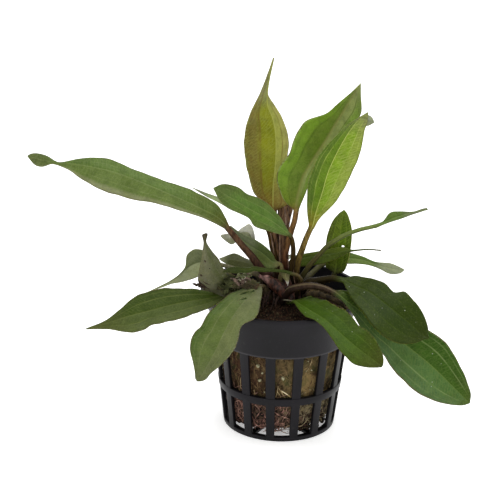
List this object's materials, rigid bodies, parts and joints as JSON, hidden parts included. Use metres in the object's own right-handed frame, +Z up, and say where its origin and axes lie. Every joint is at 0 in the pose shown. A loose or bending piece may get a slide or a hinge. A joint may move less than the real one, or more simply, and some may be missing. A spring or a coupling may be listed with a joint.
{
  "type": "potted aquarium plant",
  "caption": "Rosette of long stalked sword-shaped leaves growing from a crown in a fibrous plug, held in a small black plastic net pot.",
  "frame": {"origin": "centre of the pot's bottom face, which the pot stands on", "axes": "+Z up along the pot's axis, +X to the right as pictured, -Y towards the front"},
  "size_m": [0.156, 0.0856, 0.131],
  "materials": {
    "pot_plastic": "black moulded plastic, faint sheen",
    "plug_fibre": "brown fibrous plug, mossy on top",
    "roots": "pinkish brown roots",
    "crown_skin": "red-brown sheathed crown",
    "dead_skin": "dry brown stalk",
    "leaf_olive": "living leaf, olive, satin",
    "leaf_bright": "living leaf, yellow-green, satin",
    "leaf_green": "living leaf, mid green, satin",
    "leaf_dark": "living leaf, dark green, satin",
    "leaf_pale": "living leaf, pale grey-green, satin",
    "leaf_wilted": "wilted leaf, grey-green to brown, dull"
  },
  "bodies": {
    "root": {"net_pot": "pot_plastic", "growing_plug": "plug_fibre", "root_mat": "roots", "crown": "crown_skin", "dead_stalk": "dead_skin", "leaf_01": "leaf_olive", "leaf_02": "leaf_bright", "leaf_03": "leaf_bright", "leaf_04": "leaf_green", "leaf_05": "leaf_green", "leaf_06": "leaf_dark", "leaf_07": "leaf_pale", "leaf_08": "leaf_green", "leaf_09": "leaf_dark", "leaf_10": "leaf_dark", "leaf_11": "leaf_dark", "leaf_12": "leaf_green", "leaf_13": "leaf_pale", "leaf_14": "leaf_dark", "leaf_15": "leaf_green", "leaf_16": "leaf_pale", "leaf_17": "leaf_pale", "leaf_18": "leaf_wilted", "leaf_19": "leaf_pale", "leaf_20": "leaf_dark", "leaf_21": "leaf_dark", "leaf_22": "leaf_green"}
  },
  "joints": []
}
